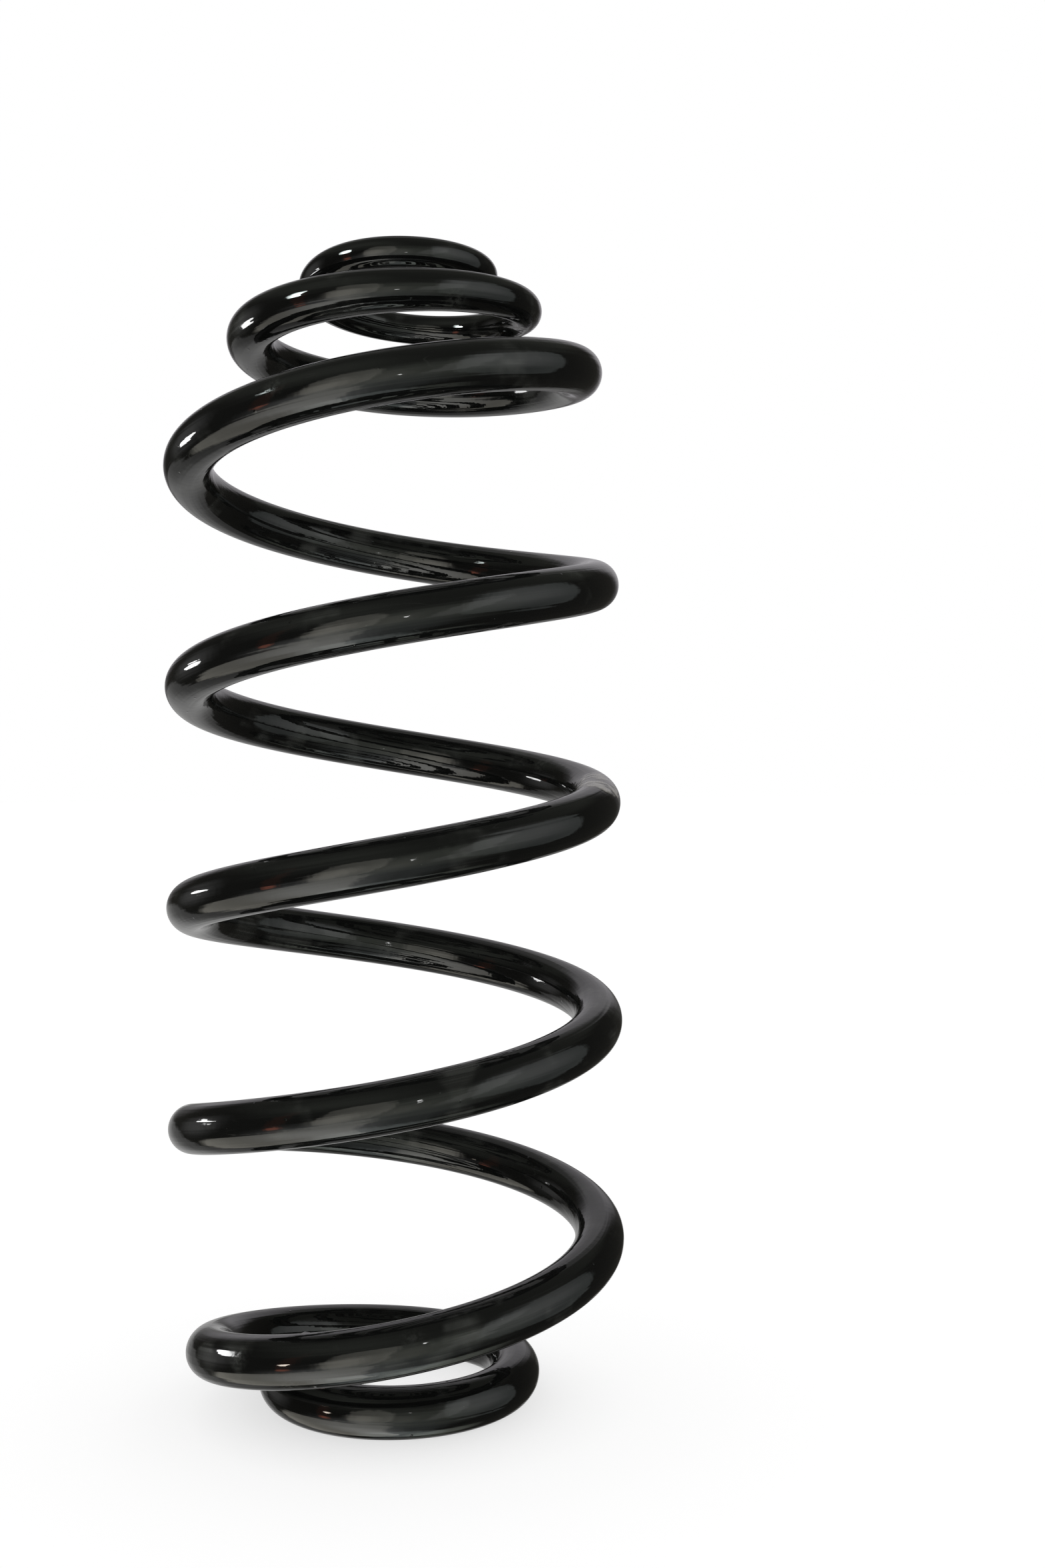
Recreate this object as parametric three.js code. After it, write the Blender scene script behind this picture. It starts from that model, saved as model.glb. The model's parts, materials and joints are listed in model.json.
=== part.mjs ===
// A suspension coil spring: one round steel bar, wound right-handed into an open barrel with drawn-in ends.
// The bar is divided into quarter turns, each a separate mesh, so that the coils can close up on each other.
// Millimetres. +Z runs up the spring's axis, and the lower end coil rests on z = 0.

import * as THREE from "three";

// Turns are counted along the bar, from its lower tip.
const TURNS = 7.7;
const QUARTER = 0.25;
const LOWER_TIP_ANGLE = THREE.MathUtils.degToRad(144);

// The bar's radius, and its centreline's distance from the axis.
const BAR_RADIUS = 6.75;
const UPPER_TIP_BAR_RADIUS = 4.25;
const BODY_RADIUS = 56;
const LOWER_END_RADIUS = 32;
const SHOULDER_RADIUS = 39;
const UPPER_END_RADIUS = 23;
const UPPER_END_OFFSET = 2.5; // the upper end coil is wound this far off the axis, towards +X

// The rise in one turn of the body and of the shoulder above it. The end coils are level.
const BODY_PITCH = 60.2;
const SHOULDER_PITCH = 16.2;

// The stretches of bar, in turns, over which one size changes smoothly to the next.
const WIDENS = { from: 0.55, to: 1.34 };
const NARROWS_TO_SHOULDER = { from: 5.35, to: 6.05 };
const NARROWS_TO_UPPER_END = { from: 6.4, to: 7.2 };
const LIFTS_OFF_THE_SEAT = { from: 0.75, to: 1.15 };
const EASES_AT_THE_SHOULDER = { from: 5.37, to: 5.77 };
const LEVELS_OUT = { from: 7.1, to: 7.4 };
const TAPERS = { from: 5.9, to: 6.85 };

// The bar's section is a polygon with a flat side above and below, which gives each seat a flat face.
const SECTION_SIDES = 16;
const STEPS_PER_QUARTER = 8;
const CUT_WIDTH = 0.3; // the gap between neighbouring pieces

// How many quarter turns, counted from each tip, lie dead on the seats.
const LOWER_END_PIECES = 3;
const UPPER_END_PIECES = 2;

const coating = { color: 0x0b0c0c, roughness: 0.18, metalness: 0.0 };

// How much of a stretch has been passed at a place on the bar, from 0 to 1.
function passed(turn, stretch) {
  return THREE.MathUtils.clamp((turn - stretch.from) / (stretch.to - stretch.from), 0, 1);
}

// The same, eased at both ends.
function share(turn, stretch) {
  const x = passed(turn, stretch);
  return x * x * (3 - 2 * x);
}

// The sum of share() from the lower tip to a place on the bar.
function shareSummed(turn, stretch) {
  const x = passed(turn, stretch);
  const within = (stretch.to - stretch.from) * (x ** 3 - x ** 4 / 2);
  return within + Math.max(turn - stretch.to, 0);
}

function barRadius(turn) {
  return BAR_RADIUS + (UPPER_TIP_BAR_RADIUS - BAR_RADIUS) * share(turn, TAPERS);
}

function coilRadius(turn) {
  return (
    LOWER_END_RADIUS +
    (BODY_RADIUS - LOWER_END_RADIUS) * share(turn, WIDENS) +
    (SHOULDER_RADIUS - BODY_RADIUS) * share(turn, NARROWS_TO_SHOULDER) +
    (UPPER_END_RADIUS - SHOULDER_RADIUS) * share(turn, NARROWS_TO_UPPER_END)
  );
}

function height(turn) {
  return (
    BAR_RADIUS +
    BODY_PITCH * shareSummed(turn, LIFTS_OFF_THE_SEAT) +
    (SHOULDER_PITCH - BODY_PITCH) * shareSummed(turn, EASES_AT_THE_SHOULDER) -
    SHOULDER_PITCH * shareSummed(turn, LEVELS_OUT)
  );
}

function outward(turn) {
  const angle = LOWER_TIP_ANGLE + 2 * Math.PI * turn;
  return new THREE.Vector3(Math.cos(angle), Math.sin(angle), 0);
}

function centreline(turn) {
  const point = outward(turn).multiplyScalar(coilRadius(turn));
  point.x += UPPER_END_OFFSET * share(turn, NARROWS_TO_UPPER_END);
  point.z = height(turn);
  return point;
}

// The bar's centreline between two places, with frames that stand in upright planes through the axis.
// Each frame stretches the section to the bar's size there, so the cut faces are upright and the bar tapers.
class BarCurve extends THREE.Curve {
  constructor(from, to) {
    super();
    this.from = from;
    this.to = to;
  }

  turnAt(t) {
    return this.from + (this.to - this.from) * t;
  }

  getPoint(t, target = new THREE.Vector3()) {
    return target.copy(centreline(this.turnAt(t)));
  }

  computeFrenetFrames(steps) {
    const frames = { tangents: [], normals: [], binormals: [] };
    for (let i = 0; i <= steps; i++) {
      const t = this.getUtoTmapping(i / steps);
      const turn = this.turnAt(t);
      const tangent = this.getTangent(t);
      const levelness = Math.hypot(tangent.x, tangent.y);
      frames.tangents.push(tangent);
      frames.normals.push(new THREE.Vector3(0, 0, barRadius(turn) / levelness));
      frames.binormals.push(outward(turn).multiplyScalar(barRadius(turn)));
    }
    return frames;
  }
}

// A polygon around a circle of radius 1, with a flat side square to its first axis.
function unitSection() {
  const corner = 1 / Math.cos(Math.PI / SECTION_SIDES);
  const shape = new THREE.Shape();
  for (let i = 0; i < SECTION_SIDES; i++) {
    const angle = ((i + 0.5) * 2 * Math.PI) / SECTION_SIDES;
    const point = [corner * Math.cos(angle), corner * Math.sin(angle)];
    if (i === 0) shape.moveTo(...point);
    else shape.lineTo(...point);
  }
  shape.closePath();
  return shape;
}

// Half of the cut, as a share of a turn, where the bar lies at this place.
function halfCut(turn) {
  return CUT_WIDTH / 2 / (2 * Math.PI * coilRadius(turn));
}

function barPiece(name, start, end) {
  const from = start > 0 ? start + halfCut(start) : start;
  const to = end < TURNS ? end - halfCut(end) : end;
  const geometry = new THREE.ExtrudeGeometry(unitSection(), {
    steps: STEPS_PER_QUARTER,
    extrudePath: new BarCurve(from, to),
  });
  const mesh = new THREE.Mesh(geometry, new THREE.MeshStandardMaterial(coating));
  mesh.name = name;
  return mesh;
}

function twoDigits(number) {
  return String(number).padStart(2, "0");
}

// A piece is named after the part of the spring that it belongs to, counted upwards.
function pieceName(index, count) {
  const firstUpper = count - UPPER_END_PIECES;
  if (index < LOWER_END_PIECES) return `lower_end_coil_${index + 1}`;
  if (index >= firstUpper) return `upper_end_coil_${index - firstUpper + 1}`;
  return `active_coil_quarter_${twoDigits(index - LOWER_END_PIECES + 1)}`;
}

function coilSpring() {
  const spring = new THREE.Group();
  const count = Math.ceil(TURNS / QUARTER);
  for (let index = 0; index < count; index++) {
    const start = index * QUARTER;
    const end = Math.min(start + QUARTER, TURNS);
    spring.add(barPiece(pieceName(index, count), start, end));
  }
  return spring;
}

export default coilSpring();
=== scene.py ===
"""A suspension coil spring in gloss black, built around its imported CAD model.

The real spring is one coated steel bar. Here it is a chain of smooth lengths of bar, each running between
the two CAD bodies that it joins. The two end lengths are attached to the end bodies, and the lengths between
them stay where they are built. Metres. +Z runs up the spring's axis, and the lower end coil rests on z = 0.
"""

import json
import math

import bpy
import numpy as np
from mathutils import Matrix, Vector

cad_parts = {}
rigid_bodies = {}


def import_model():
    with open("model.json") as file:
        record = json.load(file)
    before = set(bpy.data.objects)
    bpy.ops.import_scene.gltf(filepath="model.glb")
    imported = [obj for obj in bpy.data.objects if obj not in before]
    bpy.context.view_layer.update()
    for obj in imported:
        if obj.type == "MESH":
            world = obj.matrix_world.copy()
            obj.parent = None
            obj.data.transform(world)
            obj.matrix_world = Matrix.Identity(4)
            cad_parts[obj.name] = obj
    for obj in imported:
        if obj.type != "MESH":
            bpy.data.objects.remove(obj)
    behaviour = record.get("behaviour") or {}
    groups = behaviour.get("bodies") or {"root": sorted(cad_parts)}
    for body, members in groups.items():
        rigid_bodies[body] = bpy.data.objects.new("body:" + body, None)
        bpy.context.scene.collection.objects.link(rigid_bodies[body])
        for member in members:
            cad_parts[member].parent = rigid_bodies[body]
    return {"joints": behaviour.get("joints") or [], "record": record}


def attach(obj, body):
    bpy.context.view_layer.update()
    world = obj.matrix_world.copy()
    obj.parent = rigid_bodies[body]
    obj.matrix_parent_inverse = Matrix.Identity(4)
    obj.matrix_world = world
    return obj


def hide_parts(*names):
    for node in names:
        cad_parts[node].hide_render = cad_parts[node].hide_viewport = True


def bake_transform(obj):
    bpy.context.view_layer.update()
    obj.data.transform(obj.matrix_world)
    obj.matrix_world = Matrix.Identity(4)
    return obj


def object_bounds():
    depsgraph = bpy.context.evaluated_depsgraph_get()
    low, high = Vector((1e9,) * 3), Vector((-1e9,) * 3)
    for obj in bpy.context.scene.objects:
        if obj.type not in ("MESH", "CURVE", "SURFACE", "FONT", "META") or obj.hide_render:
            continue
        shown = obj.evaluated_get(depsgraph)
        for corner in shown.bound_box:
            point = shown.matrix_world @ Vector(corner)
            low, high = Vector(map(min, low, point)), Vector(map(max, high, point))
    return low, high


MM = 0.001

# The winding, as in the CAD model. Turns are counted along the bar, from its lower tip.
TURNS = 7.7
QUARTER = 0.25
LOWER_TIP_ANGLE = math.radians(144)
BAR_RADIUS = 6.75 * MM
UPPER_TIP_BAR_RADIUS = 4.25 * MM
BODY_RADIUS = 56 * MM
LOWER_END_RADIUS = 32 * MM
SHOULDER_RADIUS = 39 * MM
UPPER_END_RADIUS = 23 * MM
UPPER_END_OFFSET = 2.5 * MM
BODY_PITCH = 60.2 * MM
SHOULDER_PITCH = 16.2 * MM

# The stretches of bar, in turns, over which one size changes smoothly to the next.
WIDENS = (0.55, 1.34)
NARROWS_TO_SHOULDER = (5.35, 6.05)
NARROWS_TO_UPPER_END = (6.4, 7.2)
LIFTS_OFF_THE_SEAT = (0.75, 1.15)
EASES_AT_THE_SHOULDER = (5.37, 5.77)
LEVELS_OUT = (7.1, 7.4)
TAPERS = (5.9, 6.85)

# The fineness of the meshes, and of the table of lengths along the bar.
SECTION_SIDES = 64
RINGS_PER_TURN = 192
TIP_RINGS = 8
TABLE_STEPS = 4000

TIP_ROUNDING = 1.1 * MM  # the coating's radius on the edge of a cut tip
TIP_FACE_PARTS = (0.75, 0.5, 0.25)  # where rings divide the flat face of a tip
STEEPEST_LEAN = math.tan(1.5)  # stands in for an endless slope where a tip's rounding meets its flat face


def share(turn, stretch):
    """How much of a stretch has been passed at a place on the bar, from 0 to 1, eased at both ends."""
    start, end = stretch
    x = np.clip((turn - start) / (end - start), 0, 1)
    return x * x * (3 - 2 * x)


def share_summed(turn, stretch):
    """The sum of share() from the lower tip to a place on the bar."""
    start, end = stretch
    x = np.clip((turn - start) / (end - start), 0, 1)
    return (end - start) * (x**3 - x**4 / 2) + np.maximum(turn - end, 0)


def bar_radius(turn):
    return BAR_RADIUS + (UPPER_TIP_BAR_RADIUS - BAR_RADIUS) * share(turn, TAPERS)


def coil_radius(turn):
    return (
        LOWER_END_RADIUS
        + (BODY_RADIUS - LOWER_END_RADIUS) * share(turn, WIDENS)
        + (SHOULDER_RADIUS - BODY_RADIUS) * share(turn, NARROWS_TO_SHOULDER)
        + (UPPER_END_RADIUS - SHOULDER_RADIUS) * share(turn, NARROWS_TO_UPPER_END)
    )


def height(turn):
    return (
        BAR_RADIUS
        + BODY_PITCH * share_summed(turn, LIFTS_OFF_THE_SEAT)
        + (SHOULDER_PITCH - BODY_PITCH) * share_summed(turn, EASES_AT_THE_SHOULDER)
        - SHOULDER_PITCH * share_summed(turn, LEVELS_OUT)
    )


def outward(turn):
    angle = LOWER_TIP_ANGLE + 2 * math.pi * turn
    return np.stack([np.cos(angle), np.sin(angle), 0 * angle], axis=-1)


def centreline(turn):
    turn = np.asarray(turn, float)
    points = outward(turn) * coil_radius(turn)[..., None]
    points[..., 0] += UPPER_END_OFFSET * share(turn, NARROWS_TO_UPPER_END)
    points[..., 2] = height(turn)
    return points


def unit(vectors):
    return vectors / np.linalg.norm(vectors, axis=-1, keepdims=True)


def tangent(turn):
    step = 1e-5
    return unit(centreline(turn + step) - centreline(turn - step))


TABLE_TURNS = np.linspace(0, TURNS, TABLE_STEPS + 1)
TABLE_LENGTHS = np.concatenate(
    [[0], np.cumsum(np.linalg.norm(np.diff(centreline(TABLE_TURNS), axis=0), axis=1))]
)


def length_to(turn):
    """The length of bar from the lower tip to a place on it."""
    return np.interp(turn, TABLE_TURNS, TABLE_LENGTHS)


def section_axes(turn):
    """Two unit vectors square to the bar and to each other: away from the spring's axis, and upwards."""
    along = tangent(turn)
    out = outward(turn)
    out = unit(out - along * np.sum(out * along, axis=-1, keepdims=True))
    return out, np.cross(out, along), along


def rings_between(start, end):
    """Rings of the bar between two places.

    Each is (place in turns, distance along the bar from there, radius, how steeply the surface faces along
    the bar).
    """
    count = max(2, round((end - start) * RINGS_PER_TURN)) + 1
    turns = np.linspace(start, end, count)
    slope = np.gradient(bar_radius(turns), length_to(turns))
    return [(turn, 0.0, bar_radius(turn), -steep) for turn, steep in zip(turns, slope)]


def tip_rings(turn, way):
    """Rings that close the bar at a tip with a rounded edge, from its side to its end face.

    way is 1 at the upper tip and -1 at the lower one.
    """
    flat_radius = bar_radius(turn) - TIP_ROUNDING
    rings = []
    for angle in np.linspace(0, math.pi / 2, TIP_RINGS):
        along = way * TIP_ROUNDING * (math.sin(angle) - 1)
        lean = way * min(math.tan(angle), STEEPEST_LEAN)
        rings.append((turn, along, flat_radius + TIP_ROUNDING * math.cos(angle), lean))
    for part in TIP_FACE_PARTS:
        rings.append((turn, 0.0, flat_radius * part, way * math.inf))
    return rings


def past_rounding(turn):
    """A length of bar half as long again as a tip's rounding, in turns."""
    return 1.5 * TIP_ROUNDING / (2 * math.pi * coil_radius(turn))


def make_bar(name, rings):
    """A length of bar through the rings as one watertight mesh. Its two ends are closed by fans.

    The surface's directions come from the winding, so neighbouring lengths meet without a visible seam. The
    attribute bar_place holds where each point was on the straight bar, before winding, for the materials.
    """
    turns = np.array([r[0] for r in rings])
    shift = np.array([r[1] for r in rings])
    radii = np.array([r[2] for r in rings])
    lean = np.array([r[3] for r in rings])
    out, up, along = section_axes(turns)
    centres = centreline(turns) + along * shift[:, None]
    angles = np.arange(SECTION_SIDES) * 2 * math.pi / SECTION_SIDES
    around = out[:, None] * np.cos(angles)[None, :, None] + up[:, None] * np.sin(angles)[None, :, None]
    points = centres[:, None] + around * radii[:, None, None]
    tilt = np.arctan(lean)
    normals = around * np.cos(tilt)[:, None, None] + along[:, None] * np.sin(tilt)[:, None, None]
    distance = length_to(turns) + shift
    places = np.stack(
        [
            radii[:, None] * np.cos(angles),
            radii[:, None] * np.sin(angles),
            np.repeat(distance[:, None], SECTION_SIDES, axis=1),
        ],
        axis=-1,
    )

    ring_count = len(rings)
    vertices = points.reshape(-1, 3).tolist() + [centres[0].tolist(), centres[-1].tolist()]
    all_places = places.reshape(-1, 3).tolist() + [[0, 0, distance[0]], [0, 0, distance[-1]]]
    first_centre, last_centre = len(vertices) - 2, len(vertices) - 1
    faces, corner_normals = [], []
    flat = normals.reshape(-1, 3)
    for ring in range(ring_count - 1):
        for side in range(SECTION_SIDES):
            a = ring * SECTION_SIDES + side
            b = ring * SECTION_SIDES + (side + 1) % SECTION_SIDES
            face = (a, a + SECTION_SIDES, b + SECTION_SIDES, b)
            faces.append(face)
            corner_normals.extend(flat[i] for i in face)
    last = (ring_count - 1) * SECTION_SIDES
    for side in range(SECTION_SIDES):
        following = (side + 1) % SECTION_SIDES
        faces.append((side, following, first_centre))
        corner_normals.extend([-along[0]] * 3)
        faces.append((last + following, last + side, last_centre))
        corner_normals.extend([along[-1]] * 3)

    mesh = bpy.data.meshes.new(name)
    mesh.from_pydata(vertices, [], faces)
    mesh.polygons.foreach_set("use_smooth", [True] * len(faces))
    mesh.normals_split_custom_set([Vector(n) for n in corner_normals])
    attribute = mesh.attributes.new("bar_place", "FLOAT_VECTOR", "POINT")
    attribute.data.foreach_set("vector", np.array(all_places).ravel())
    bar = bpy.data.objects.new(name, mesh)
    bpy.context.scene.collection.objects.link(bar)
    return bar


def bodies_from_bottom(frame):
    """The CAD bodies from the lower seat to the upper one, following the joints."""
    above = {joint["parent"]: joint["child"] for joint in frame["joints"]}
    body = next(parent for parent in above if parent not in above.values())
    chain = [body]
    while chain[-1] in above:
        chain.append(above[chain[-1]])
    return chain


def build_spring(frame, coating):
    nodes = frame["record"]["behaviour"]["bodies"]
    chain = bodies_from_bottom(frame)
    lower, upper = chain[0], chain[-1]
    lower_end = len(nodes[lower]) * QUARTER
    quarters = len(chain) - 2
    upper_start = lower_end + quarters * QUARTER
    middles = [lower_end + (index + 0.5) * QUARTER for index in range(quarters)]
    places = [lower_end, *middles, upper_start]

    rings = tip_rings(0, -1)[::-1] + rings_between(past_rounding(0), lower_end)
    bar = make_bar("lower_end_coil_bar", rings)
    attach(bar, lower)
    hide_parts(*nodes[lower])
    finish_bar(bar, coating)

    for index, (start, end) in enumerate(zip(places, places[1:])):
        bar = make_bar(f"coil_bar_{index + 1:02d}", rings_between(start, end))
        below, above = chain[index], chain[index + 1]
        centreline(start)
        centreline(end)
        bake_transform(bar)
        stood_for = [n for body in (below, above) if body not in (lower, upper) for n in nodes[body]]
        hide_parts(*stood_for)
        finish_bar(bar, coating)

    rings = rings_between(upper_start, TURNS - past_rounding(TURNS)) + tip_rings(TURNS, 1)
    bar = make_bar("upper_end_coil_bar", rings)
    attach(bar, upper)
    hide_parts(*nodes[upper])
    finish_bar(bar, coating)


def finish_bar(bar, coating):
    bar.data.materials.append(coating)


def connect(tree, socket, value):
    """Link an output to an input, or set the input to a plain value. None leaves it as it is."""
    if isinstance(value, bpy.types.NodeSocket):
        tree.links.new(value, socket)
    elif value is not None:
        socket.default_value = value


def add_node(tree, kind, inputs=(), output=0, **settings):
    """One output of a new node. inputs gives its links or values in order, or by name or number."""
    node = tree.nodes.new(kind)
    for name, value in settings.items():
        setattr(node, name, value)
    for key, value in inputs.items() if isinstance(inputs, dict) else enumerate(inputs):
        connect(tree, node.inputs[key], value)
    return node.outputs[output]


def math_node(tree, operation, *inputs):
    return add_node(tree, "ShaderNodeMath", inputs, operation=operation)


def times(tree, vector, factors):
    return add_node(tree, "ShaderNodeVectorMath", (vector, factors), operation="MULTIPLY")


def smooth_step(tree, value, start, end, at_start=0.0, at_end=1.0):
    inputs = (value, start, end, at_start, at_end)
    return add_node(tree, "ShaderNodeMapRange", inputs, interpolation_type="SMOOTHSTEP")


def mix_colours(tree, share_of_second, first, second):
    return add_node(tree, "ShaderNodeMix", {0: share_of_second, 6: first, 7: second}, 2, data_type="RGBA")


def noise(tree, places, size, detail=1.0, distortion=0.0):
    """Soft noise from 0 to 1, with features of about the given size."""
    inputs = {"Vector": places, "Scale": 1 / size, "Detail": detail, "Distortion": distortion}
    return add_node(tree, "ShaderNodeTexNoise", inputs)


def near_scattered_points(tree, places, spacing, radius):
    """1 at points scattered through space and 0 beyond a radius from them. Few of them touch the surface."""
    distance = add_node(tree, "ShaderNodeTexVoronoi", {"Vector": places, "Scale": 1 / spacing})
    return smooth_step(tree, distance, 0.0, radius / spacing, 1.0, 0.0)


def sum_of(tree, *parts):
    """The sum of (amount, weight) pairs."""
    total = 0.0
    for amount, weight in parts:
        total = math_node(tree, "MULTIPLY_ADD", amount, weight, total)
    return total


# The coating's marks. Their sizes are in millimetres on the straight bar.
DRAWN_OUT = 50  # how many times longer than wide the marks of drawing are
ORANGE_PEEL_SIZE = 2.2
FINE_LINE_WIDTH = 0.5
DRAW_LINE_WIDTH = 1.7
FLAT_WIDTH = 4.5
NIB_SPACING, NIB_RADIUS = 9, 0.5
DUST_SPACING, DUST_RADIUS = 5, 0.2
FILM_SIZE = 14
SMEAR_WIDTH = 1.1
SCUFF_SPACING, SCUFF_RADIUS = 24, 4.0
RUBBED_GRAIN = 1.0
SCRATCH_STRETCH = (0.30, 0.30, 0.035)  # pulls the scratches' noise out along the bar
SCRATCHED_PLACE_SIZE = 11
WORN_GRAIN = 1.4

# Where the coating is scraped pale: turns along the bar, angle round it, half width and half length.
PATCH_TURN = 3.575
PATCH_ANGLE = math.radians(95)
PATCH_ACROSS = 9 * MM
PATCH_ALONG = 13 * MM
PATCH_EDGE_SIZE = 4
PATCH_EDGE_DEPTH = 1.4
SWIRL_SIZE = 6

# What each mark does: its height in millimetres, the roughness it adds, and how far it dulls the black.
MARKS = {
    "orange_peel": (0.03, 0.02, 0.0),
    "fine_lines": (0.009, 0.0, 0.0),
    "draw_lines": (0.125, 0.0, 0.0),
    "flats": (0.16, 0.0, 0.0),
    "nibs": (0.10, 0.0, 0.0),
    "dust": (0.0, 0.0, 0.9),
    "film": (0.0, 0.04, 0.20),
    "smears": (0.0, 0.10, 0.40),
    "scratches": (-0.004, 0.10, 0.12),
    "scuffs": (0.012, 0.15, 0.40),
    "worn": (-0.08, 0.35, 0.0),
    "scraped": (0.15, 0.20, 0.0),
}
GLOSS_ROUGHNESS = 0.035

PAINT = (0.0036, 0.0038, 0.0036, 1)
DULLED_PAINT = (0.050, 0.052, 0.047, 1)
SCRAPED_PALE = (0.27, 0.26, 0.24, 1)
BARE_STEEL = (0.11, 0.10, 0.09, 1)


def scratch_lines(tree, places):
    """Fine lines along the bar, in a few places only."""
    stretched = times(tree, places, SCRATCH_STRETCH)
    from_middle = math_node(tree, "SUBTRACT", noise(tree, stretched, 1.0, 0.0), 0.5)
    from_line = math_node(tree, "ABSOLUTE", from_middle)
    lines = smooth_step(tree, from_line, 0.001, 0.008, 1.0, 0.0)
    in_places = smooth_step(tree, noise(tree, places, SCRATCHED_PLACE_SIZE), 0.58, 0.68)
    return math_node(tree, "MULTIPLY", lines, in_places)


def scuff_marks(tree, places):
    """Rubbed spots, scattered along the bar and broken up by a fine grain."""
    spots = near_scattered_points(tree, places, SCUFF_SPACING, SCUFF_RADIUS)
    rubbed = smooth_step(tree, noise(tree, places, RUBBED_GRAIN, 3.0), 0.35, 0.7)
    return math_node(tree, "MULTIPLY", spots, rubbed)


def worn_tip_edge(tree, place, places):
    """1 where the coating has rubbed through, in patches along the rounded edge of each cut tip."""
    along_bar = add_node(tree, "ShaderNodeSeparateXYZ", (place,), "Z")
    from_axis = add_node(
        tree, "ShaderNodeVectorMath", (times(tree, place, (1, 1, 0)),), "Value", operation="LENGTH"
    )
    bar_length = float(length_to(TURNS))
    from_tip = math_node(tree, "MINIMUM", along_bar, math_node(tree, "SUBTRACT", bar_length, along_bar))
    lower_half, upper_half = 0.4 * bar_length, 0.6 * bar_length
    tip_radius = smooth_step(tree, along_bar, lower_half, upper_half, BAR_RADIUS, UPPER_TIP_BAR_RADIUS)
    from_corner = math_node(tree, "ADD", from_tip, math_node(tree, "SUBTRACT", tip_radius, from_axis))
    corner = smooth_step(tree, from_corner, 0.5 * TIP_ROUNDING, TIP_ROUNDING, 1.0, 0.0)
    in_patches = smooth_step(tree, noise(tree, places, WORN_GRAIN, 3.0), 0.45, 0.58)
    return math_node(tree, "MULTIPLY", corner, in_patches)


def pale_patch(tree, place, places):
    """1 where the coating has been scraped pale, on one stretch of the bar's upper side."""
    middle = (
        BAR_RADIUS * math.cos(PATCH_ANGLE),
        BAR_RADIUS * math.sin(PATCH_ANGLE),
        float(length_to(PATCH_TURN)),
    )
    from_middle = add_node(tree, "ShaderNodeVectorMath", (place, middle), operation="SUBTRACT")
    parts = times(tree, from_middle, (1 / PATCH_ACROSS, 1 / PATCH_ACROSS, 1 / PATCH_ALONG))
    reach = add_node(tree, "ShaderNodeVectorMath", (parts,), "Value", operation="LENGTH")
    edge_noise = noise(tree, places, PATCH_EDGE_SIZE, 3.0)
    ragged = math_node(tree, "MULTIPLY_ADD", edge_noise, PATCH_EDGE_DEPTH, reach)
    inside = smooth_step(tree, ragged, 1.3, 1.75, 1.0, 0.0)
    swirls = smooth_step(tree, noise(tree, places, SWIRL_SIZE, 1.0, 1.2), 0.40, 0.58, 0.10, 1.0)
    return math_node(tree, "MULTIPLY", inside, swirls)


def coating_marks(tree, place):
    """How strongly each mark shows at a place, from 0 to 1, by the names in MARKS."""
    places = times(tree, place, (1 / MM, 1 / MM, 1 / MM))
    drawn = times(tree, places, (1, 1, 1 / DRAWN_OUT))
    film = smooth_step(tree, noise(tree, places, FILM_SIZE, 3.0), 0.54, 0.72)
    wiped = smooth_step(tree, noise(tree, drawn, SMEAR_WIDTH, 3.0), 0.4, 0.65)
    return {
        "orange_peel": noise(tree, places, ORANGE_PEEL_SIZE),
        "fine_lines": noise(tree, drawn, FINE_LINE_WIDTH),
        "draw_lines": noise(tree, drawn, DRAW_LINE_WIDTH, 1.0, 0.4),
        "flats": noise(tree, drawn, FLAT_WIDTH),
        "nibs": near_scattered_points(tree, places, NIB_SPACING, NIB_RADIUS),
        "dust": near_scattered_points(tree, places, DUST_SPACING, DUST_RADIUS),
        "film": film,
        "smears": math_node(tree, "MULTIPLY", film, wiped),
        "scratches": scratch_lines(tree, places),
        "scuffs": scuff_marks(tree, places),
        "worn": worn_tip_edge(tree, place, places),
        "scraped": pale_patch(tree, place, places),
    }


def black_coating():
    """Gloss black paint over a drawn bar, with the marks of making, handling and wear."""
    material = bpy.data.materials.new("black_coating")
    material.use_nodes = True
    tree = material.node_tree
    shader = tree.nodes["Principled BSDF"]
    place = add_node(tree, "ShaderNodeAttribute", (), "Vector", attribute_name="bar_place")
    marks = coating_marks(tree, place)

    height, lost_gloss, dulled = (
        sum_of(tree, *((marks[name], effects[kind]) for name, effects in MARKS.items() if effects[kind]))
        for kind in range(3)
    )
    bump = add_node(tree, "ShaderNodeBump", {"Strength": 1.0, "Distance": MM, "Height": height})
    connect(tree, shader.inputs["Normal"], bump)
    connect(tree, shader.inputs["Roughness"], math_node(tree, "ADD", lost_gloss, GLOSS_ROUGHNESS))
    colour = mix_colours(tree, dulled, PAINT, DULLED_PAINT)
    colour = mix_colours(tree, marks["scraped"], colour, SCRAPED_PALE)
    connect(tree, shader.inputs["Base Color"], mix_colours(tree, marks["worn"], colour, BARE_STEEL))
    return material


FLOOR_HALF_SIDE = 30
FLOOR_WHITE = 0.36
FLOOR_GLOW = 0.68  # with FLOOR_WHITE, this burns the lit floor out to plain white and leaves a faint shadow


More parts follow.
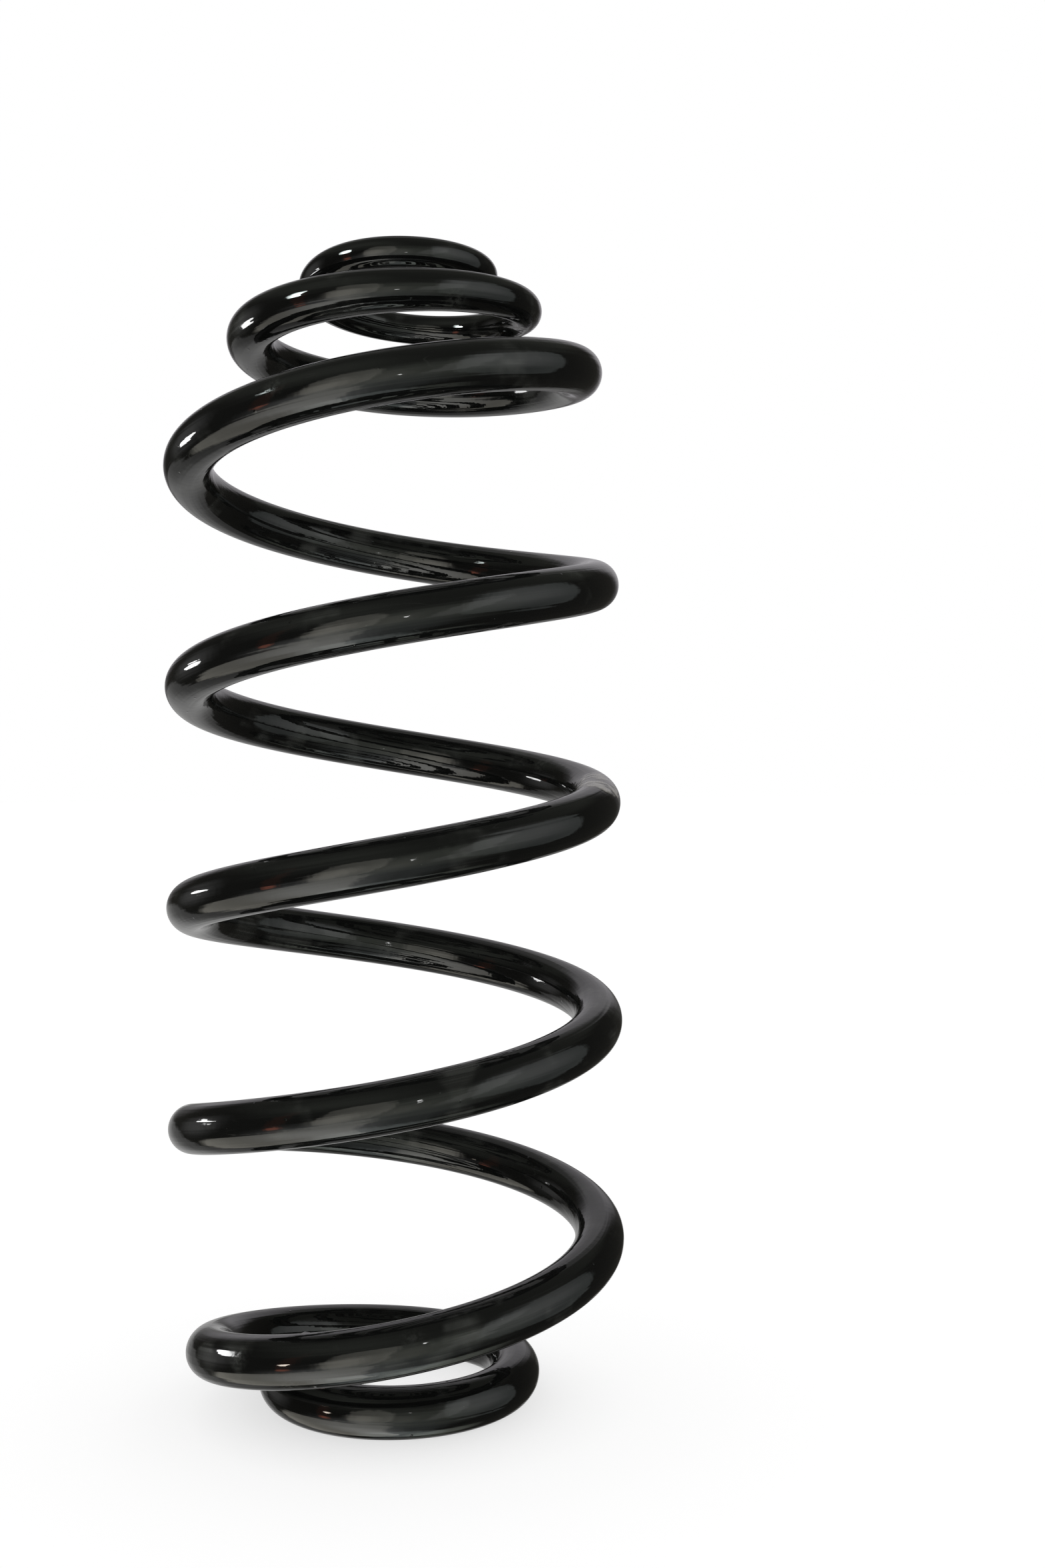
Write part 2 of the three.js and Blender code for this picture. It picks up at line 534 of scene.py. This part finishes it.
def pale_floor():
    mesh = bpy.data.meshes.new("floor")
    half = FLOOR_HALF_SIDE
    corners = [(-half, -half, 0), (half, -half, 0), (half, half, 0), (-half, half, 0)]
    mesh.from_pydata(corners, [], [(0, 1, 2, 3)])
    floor = bpy.data.objects.new("floor", mesh)
    bpy.context.scene.collection.objects.link(floor)
    material = bpy.data.materials.new("white_floor")
    material.use_nodes = True
    shader = material.node_tree.nodes["Principled BSDF"]
    shader.inputs["Base Color"].default_value = (FLOOR_WHITE, FLOOR_WHITE, FLOOR_WHITE, 1)
    shader.inputs["Roughness"].default_value = 1.0
    shader.inputs["Specular IOR Level"].default_value = 0.0
    shader.inputs["Emission Color"].default_value = (1, 1, 1, 1)
    shader.inputs["Emission Strength"].default_value = FLOOR_GLOW
    mesh.materials.append(material)
    floor.visible_glossy = False


CAMERA_SENSOR = 36  # millimetres, as the lens
CAMERA_LENS = 41.09
CAMERA_DISTANCE = 0.5
CAMERA_ABOVE_MIDDLE = 10.8 * MM
CAMERA_YAW = 0.0712  # radians, to the right
CAMERA_PITCH = 0.0028  # radians, upwards
CAMERA_ROLL = -0.008


def camera(cad_box):
    """The viewpoint: half a metre in front, near the middle of the height, looking a little to the right."""
    data = bpy.data.cameras.new("camera")
    data.sensor_width = CAMERA_SENSOR
    data.lens = CAMERA_LENS
    view = bpy.data.objects.new("camera", data)
    bpy.context.scene.collection.objects.link(view)
    level_part = math.cos(CAMERA_PITCH)
    forward = Vector(
        (math.sin(CAMERA_YAW) * level_part, math.cos(CAMERA_YAW) * level_part, math.sin(CAMERA_PITCH))
    )
    level = forward.cross(Vector((0, 0, 1))).normalized()
    upright = level.cross(forward)
    right = level * math.cos(CAMERA_ROLL) + upright * math.sin(CAMERA_ROLL)
    up = right.cross(forward)
    height_up = (cad_box[0][2] + cad_box[1][2]) / 2 + CAMERA_ABOVE_MIDDLE
    view.matrix_world = Matrix(
        [
            [right.x, up.x, -forward.x, 0.0],
            [right.y, up.y, -forward.y, -CAMERA_DISTANCE],
            [right.z, up.z, -forward.z, height_up],
            [0, 0, 0, 1],
        ]
    )
    bpy.context.scene.camera = view


# What stands around the spring, as its gloss shows it. Each panel has its direction from the spring as
# (degrees round from the front towards +X, degrees up), its half width and half height in degrees, the share
# of them over which it fades, its roundness (2 is an ellipse, and more is squarer), how far it leans to +X
# for each degree up, its strength and its tint.
GREENISH = (0.92, 1.0, 0.86)
BLUISH = (0.90, 1.0, 0.98)
WARM = (1.0, 0.97, 0.86)
WHITE = (1.0, 1.0, 1.0)
VIOLET = (1.03, 1.0, 1.06)
AMBER = (1.0, 0.88, 0.76)
RED = (1.0, 0.28, 0.16)
EVERY_WAY = 400
STUDIO_PANELS = {
    "ceiling": ((0, 90), (EVERY_WAY, 54), 0.15, 4, 0.0, 0.075, GREENISH),
    "ceiling_glow": ((-48, 44), (40, 22), 0.8, 2, 0.0, 0.17, GREENISH),
    "ceiling_behind": ((180, 35), (30, 38), 0.25, 3, 0.0, 0.14, VIOLET),
    "front_wall": ((20, -6), (38, 29), 0.75, 4, 0.0, 0.52, GREENISH),
    "front_wall_core": ((-3, -12), (15, 17), 0.7, 2, 0.0, 0.38, WARM),
    "left_softbox": ((-23, -2), (18, 28), 0.12, 3, 0.12, 0.70, WARM),
    "left_softbox_core": ((-30, -10), (11, 15), 0.75, 2, 0.15, 1.35, WARM),
    "left_table": ((-79, -62), (61, 32), 0.08, 8, 0.4, 1.05, WARM),
    "left_table_core": ((-46, -64), (34, 32), 0.9, 2, 0.0, 1.15, WHITE),
    "right_window": ((71, 4), (34.5, 36), 0.07, 4, 0.0, 0.33, BLUISH),
    "right_window_edge": ((41, 6), (11, 27), 0.3, 3, 0.5, 0.40, WHITE),
    "right_window_core": ((67, 15), (25, 25), 0.7, 2, 0.0, 0.50, WHITE),
    "left_rear_glow": ((-116, 2), (14, 16), 0.8, 2, 0.0, 0.28, WHITE),
    "backdrop": ((178, 23), (24, 19), 0.25, 3, 0.0, 0.28, VIOLET),
    "paper_behind": ((-167, -31), (33, 28), 0.08, 4, 0.0, 0.21, WHITE),
    "paper_behind_core": ((-170, -20), (18, 18), 0.6, 2, 0.0, 0.27, WHITE),
    "ground": ((0, -90), (EVERY_WAY, 17), 0.3, 4, 0.0, 0.85, BLUISH),
    "ground_right": ((122, -76), (38, 16), 0.5, 2, 0.0, 0.6, GREENISH),
    "ground_front": ((-15, -63), (62, 42), 0.4, 2, 0.0, 0.33, BLUISH),
    "red_cloth": ((-63, 0), (5, 28), 0.5, 2, 0.0, 0.12, RED),
    "red_spark": ((-63, -19), (4, 4), 0.6, 2, 0.0, 1.6, RED),
}
ROOM_DARK = (0.04, 0.038, 0.033)


def panel_share(tree, azimuth, elevation, centre, half_size, softness, roundness, lean):
    """1 inside a panel and 0 outside, from the direction looked in."""
    upwards = math_node(tree, "SUBTRACT", elevation, centre[1])
    middle = math_node(tree, "MULTIPLY_ADD", upwards, lean, centre[0])
    sideways = math_node(tree, "WRAP", math_node(tree, "SUBTRACT", azimuth, middle), 180, -180)
    across = math_node(tree, "DIVIDE", math_node(tree, "ABSOLUTE", sideways), half_size[0])
    along = math_node(tree, "DIVIDE", math_node(tree, "ABSOLUTE", upwards), half_size[1])
    powers = math_node(
        tree, "ADD", math_node(tree, "POWER", across, roundness), math_node(tree, "POWER", along, roundness)
    )
    radius = math_node(tree, "POWER", powers, 1 / roundness)
    return smooth_step(tree, radius, 1 - softness, 1 + softness, 1.0, 0.0)


def studio():
    """A plain white surround, which the spring's gloss sees as a dim room with soft panels in it."""
    bpy.context.scene.view_settings.view_transform = "Standard"
    world = bpy.data.worlds.new("studio")
    bpy.context.scene.world = world
    world.use_nodes = True
    tree = world.node_tree
    direction = add_node(tree, "ShaderNodeTexCoord", (), "Generated")
    parts = tree.nodes.new("ShaderNodeSeparateXYZ")
    tree.links.new(direction, parts.inputs[0])
    towards_front = math_node(tree, "MULTIPLY", parts.outputs["Y"], -1)
    azimuth = math_node(tree, "DEGREES", math_node(tree, "ARCTAN2", parts.outputs["X"], towards_front))
    elevation = math_node(tree, "DEGREES", math_node(tree, "ARCSINE", parts.outputs["Z"]))
    light = ROOM_DARK
    for *shape, strength, tint in STUDIO_PANELS.values():
        inside = panel_share(tree, azimuth, elevation, *shape)
        colour = tuple(strength * part for part in tint)
        light = add_node(tree, "ShaderNodeVectorMath", (inside, colour, light), operation="MULTIPLY_ADD")
    seen_in_gloss = add_node(tree, "ShaderNodeBackground", (light, 1.0))
    plain_white = add_node(tree, "ShaderNodeBackground", ((1, 1, 1, 1), 1.0))
    in_gloss = add_node(tree, "ShaderNodeLightPath", (), "Is Glossy Ray")
    mixed = add_node(tree, "ShaderNodeMixShader", (in_gloss, plain_white, seen_in_gloss))
    tree.links.new(mixed, tree.nodes["World Output"].inputs["Surface"])


# The lamps that glint in the gloss. Each has the place on the bar that it faces, in turns, its direction and
# distance from there as (degrees round, degrees up, metres), its width and height in metres, its beam in
# degrees, its brightness and its tint.
ALL_ROUND = 180
LAMPS = {
    "rear_left_lamp": (3.2, (-115, 4.6, 0.665), (0.20, 0.10), ALL_ROUND, 13, WHITE),
    "upper_spot": (7.25, (-66, 18.5, 0.207), (0.060, 0.064), 22, 50, BLUISH),
    "lower_spot": (1.28, (-62, -3.5, 0.2), (0.026, 0.042), 24, 26, AMBER),
    "front_lamp": (3.8, (5, -1, 0.6), (0.02, 0.02), ALL_ROUND, 14, WHITE),
}


def lamp(name, faced_turn, seen_from_there, size, beam, brightness, tint):
    """A soft elliptical lamp that only the gloss sees."""
    around, up, distance = seen_from_there
    around, up = math.radians(around), math.radians(up)
    away = Vector((math.sin(around) * math.cos(up), -math.cos(around) * math.cos(up), math.sin(up)))
    data = bpy.data.lights.new(name, "AREA")
    data.shape = "ELLIPSE"
    data.size, data.size_y = size
    data.spread = math.radians(beam)
    data.color = tint
    data.energy = brightness * math.pi * math.pi / 4 * size[0] * size[1]
    if beam != ALL_ROUND:
        # A narrow beam gathers its power, so it needs less for the same glint.
        half = math.radians(beam / 2)
        data.energy *= 1 - half / math.tan(half)
    light = bpy.data.objects.new(name, data)
    bpy.context.scene.collection.objects.link(light)
    light.rotation_mode = "QUATERNION"
    light.rotation_quaternion = away.to_track_quat("Z", "Y")
    light.location = Vector(centreline(faced_turn)) + away * distance
    light.visible_camera = False
    light.visible_diffuse = False


def main():
    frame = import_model()
    cad_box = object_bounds()
    build_spring(frame, black_coating())
    pale_floor()
    studio()
    for name, settings in LAMPS.items():
        lamp(name, *settings)
    camera(cad_box)


main()
